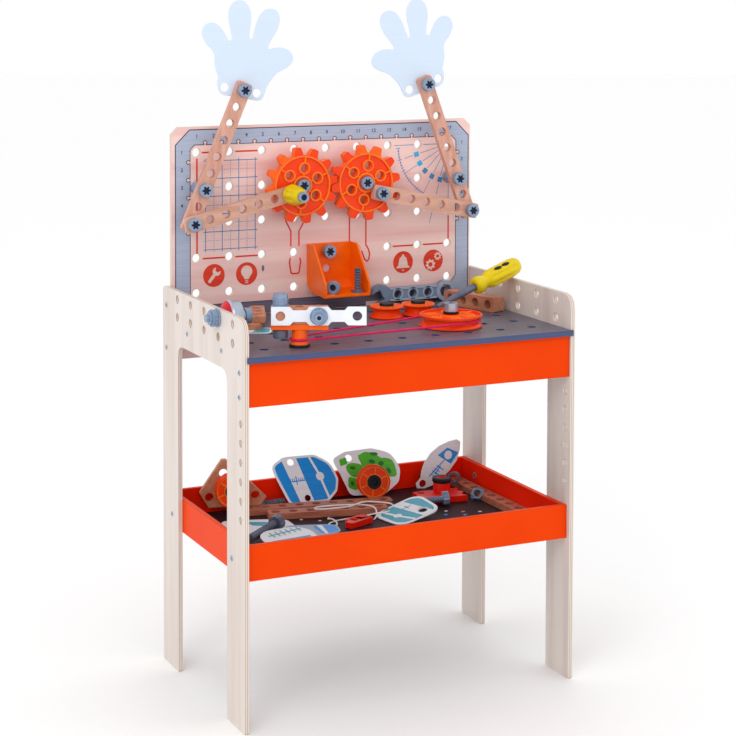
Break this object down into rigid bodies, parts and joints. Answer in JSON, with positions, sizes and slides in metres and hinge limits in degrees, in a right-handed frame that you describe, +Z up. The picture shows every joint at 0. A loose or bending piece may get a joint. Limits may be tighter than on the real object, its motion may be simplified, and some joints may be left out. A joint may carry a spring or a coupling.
{
  "type": "toy workbench",
  "caption": "Child's workbench with a peg board, two geared arms that wave flat hands, a belt-driven worktop crank, a tool bin and a tray shelf of loose construction parts.",
  "frame": {"origin": "floor level, under the centre of the bounding box", "axes": "+Z up, +Y from the user towards the peg board, +X to the user's right"},
  "size_m": [0.512, 0.3196, 0.9405],
  "materials": {
    "birch_ply": "pale birch plywood, clear satin varnish",
    "orange_paint": "orange satin paint on plywood",
    "board_print": "birch plywood printed with a ruler, a grid and icons",
    "worktop_paint": "grey stained plywood, satin",
    "beech": "sanded beech, clear satin varnish",
    "bolt_plastic": "blue-grey moulded plastic",
    "gear_plastic": "orange moulded plastic with printed rings",
    "pulley_plastic": "orange moulded plastic",
    "rubber_band": "crimson rubber band",
    "wrench_plastic": "blue-grey moulded plastic",
    "yellow_plastic": "yellow moulded plastic",
    "shaft_plastic": "grey moulded plastic",
    "bracket_plastic": "white moulded plastic",
    "hand_board": "thin board painted pale blue, satin",
    "blue_print": "blue printed card",
    "green_print": "green printed card",
    "cotton": "soft white cotton string",
    "red_plastic": "red moulded plastic"
  },
  "bodies": {
    "bench": {"back_board": "board_print", "beam_block": "beech", "bell_bolt": "bolt_plastic", "bin_bolt": "bolt_plastic", "bin_spare_bolt": "bolt_plastic", "blue_card": "blue_print", "cord_clip": "red_plastic", "drive_belt": "rubber_band", "flipper_base": "gear_plastic", "front_apron": "orange_paint", "green_card": "green_print", "large_pulley_bolt": "bolt_plastic", "left_gear_bolt": "bolt_plastic", "left_pivot_bolt": "bolt_plastic", "left_side_panel": "birch_ply", "right_gear_bolt": "bolt_plastic", "right_pivot_bolt": "bolt_plastic", "right_side_panel": "birch_ply", "shelf_board": "worktop_paint", "shelf_front_wall": "orange_paint", "shelf_left_wall": "orange_paint", "shelf_rear_wall": "orange_paint", "shelf_right_wall": "orange_paint", "string": "cotton", "strip_back": "beech", "strip_front": "beech", "strip_side": "beech", "tool_bin": "gear_plastic", "triangle_plate": "beech", "wheel_loose": "gear_plastic", "wheel_on_triangle": "gear_plastic", "worktop": "worktop_paint"},
    "left_gear": {"left_gear": "gear_plastic", "left_crank_bolt": "bolt_plastic"},
    "right_gear": {"right_gear": "gear_plastic", "right_crank_bolt": "bolt_plastic"},
    "left_arm": {"left_arm": "beech", "left_elbow_bolt": "bolt_plastic", "left_hand_bolt": "bolt_plastic"},
    "right_arm": {"right_arm": "beech", "right_elbow_bolt": "bolt_plastic", "right_hand_bolt": "bolt_plastic"},
    "left_link": {"left_link": "beech"},
    "right_link": {"right_link": "beech"},
    "left_hand": {"left_hand": "hand_board"},
    "right_hand": {"right_hand": "hand_board"},
    "crank_handle": {"crank_handle": "yellow_plastic"},
    "drive_crank": {"drive_spool": "pulley_plastic", "drive_block": "beech", "block_bolt": "bolt_plastic", "bracket_bolt": "bolt_plastic"},
    "drive_bracket": {"drive_bracket": "bracket_plastic"},
    "large_pulley": {"large_pulley": "gear_plastic"},
    "small_pulley_left": {"small_pulley_left": "pulley_plastic"},
    "small_pulley_right": {"small_pulley_right": "pulley_plastic"},
    "bell": {"bell": "pulley_plastic"},
    "wrench": {"wrench": "wrench_plastic"},
    "screwdriver": {"screwdriver_shaft": "shaft_plastic", "screwdriver_handle": "yellow_plastic"}
  },
  "joints": [
    {"name": "left_gear_spin", "type": "hinge", "parent": "bench", "child": "left_gear", "pos_m": [-0.04403, 0.11287, 0.6735], "axis": [0, -1, 0], "range_deg": [0, 40]},
    {"name": "right_gear_spin", "type": "hinge", "parent": "bench", "child": "right_gear", "pos_m": [0.05597, 0.11287, 0.6735], "axis": [0, -1, 0], "range_deg": [-40, 0]},
    {"name": "left_arm_swing", "type": "hinge", "parent": "bench", "child": "left_arm", "pos_m": [-0.19403, 0.11067, 0.6735], "axis": [0, -1, 0], "range_deg": [0, 11]},
    {"name": "right_arm_swing", "type": "hinge", "parent": "bench", "child": "right_arm", "pos_m": [0.20597, 0.11067, 0.6735], "axis": [0, -1, 0], "range_deg": [-14.6, 0]},
    {"name": "left_link_turn", "type": "hinge", "parent": "left_gear", "child": "left_link", "pos_m": [-0.06687, 0.10117, 0.66333], "axis": [0, -1, 0], "range_deg": [-44, 0]},
    {"name": "right_link_turn", "type": "hinge", "parent": "right_gear", "child": "right_link", "pos_m": [0.07567, 0.10117, 0.65811], "axis": [0, -1, 0], "range_deg": [0, 42.6]},
    {"name": "left_hand_swivel", "type": "hinge", "parent": "left_arm", "child": "left_hand", "pos_m": [-0.13548, 0.11667, 0.8116], "axis": [0, -1, 0], "range_deg": [-20, 20]},
    {"name": "right_hand_swivel", "type": "hinge", "parent": "right_arm", "child": "right_hand", "pos_m": [0.15383, 0.11667, 0.81415], "axis": [0, -1, 0], "range_deg": [-20, 20]},
    {"name": "crank_handle_spin", "type": "hinge", "parent": "left_gear", "child": "crank_handle", "pos_m": [-0.06687, 0.07587, 0.66333], "axis": [0, -1, 0], "continuous": true},
    {"name": "drive_spin", "type": "hinge", "parent": "bench", "child": "drive_crank", "pos_m": [-0.14403, -0.11233, 0.49], "axis": [0, 0, 1], "range_deg": [-60, 100]},
    {"name": "large_pulley_spin", "type": "hinge", "parent": "bench", "child": "large_pulley", "pos_m": [0.10597, -0.06233, 0.497], "axis": [0, 0, 1], "range_deg": [-17.4, 29]},
    {"name": "small_pulley_left_spin", "type": "hinge", "parent": "bench", "child": "small_pulley_left", "pos_m": [0.05597, 0.03767, 0.496], "axis": [0, 0, 1], "continuous": true},
    {"name": "small_pulley_right_spin", "type": "hinge", "parent": "bench", "child": "small_pulley_right", "pos_m": [0.10597, 0.03767, 0.496], "axis": [0, 0, 1], "continuous": true},
    {"name": "bracket_swivel", "type": "hinge", "parent": "drive_crank", "child": "drive_bracket", "pos_m": [-0.12102, -0.1221, 0.5304], "axis": [-0.3907, -0.9205, 0], "range_deg": [-15, 15]},
    {"name": "bell_spin", "type": "hinge", "parent": "bench", "child": "bell", "pos_m": [-0.21903, -0.06043, 0.5243], "axis": [1, 0, 0], "continuous": true},
    {"name": "wrench_lift", "type": "slide", "parent": "bench", "child": "wrench", "axis": [0, 0, 1], "range_m": [0, 0.06]},
    {"name": "screwdriver_lift", "type": "slide", "parent": "bench", "child": "screwdriver", "axis": [0, 0, 1], "range_m": [0, 0.05]}
  ],
  "couplings": [
    {"joint": "right_gear_spin", "follows": "left_gear_spin", "ratio": -1},
    {"joint": "left_arm_swing", "follows": "left_gear_spin", "ratio": 0.275},
    {"joint": "right_arm_swing", "follows": "left_gear_spin", "ratio": -0.365},
    {"joint": "left_link_turn", "follows": "left_gear_spin", "ratio": -1.1},
    {"joint": "right_link_turn", "follows": "left_gear_spin", "ratio": 1.065},
    {"joint": "large_pulley_spin", "follows": "drive_spin", "ratio": 0.29}
  ]
}
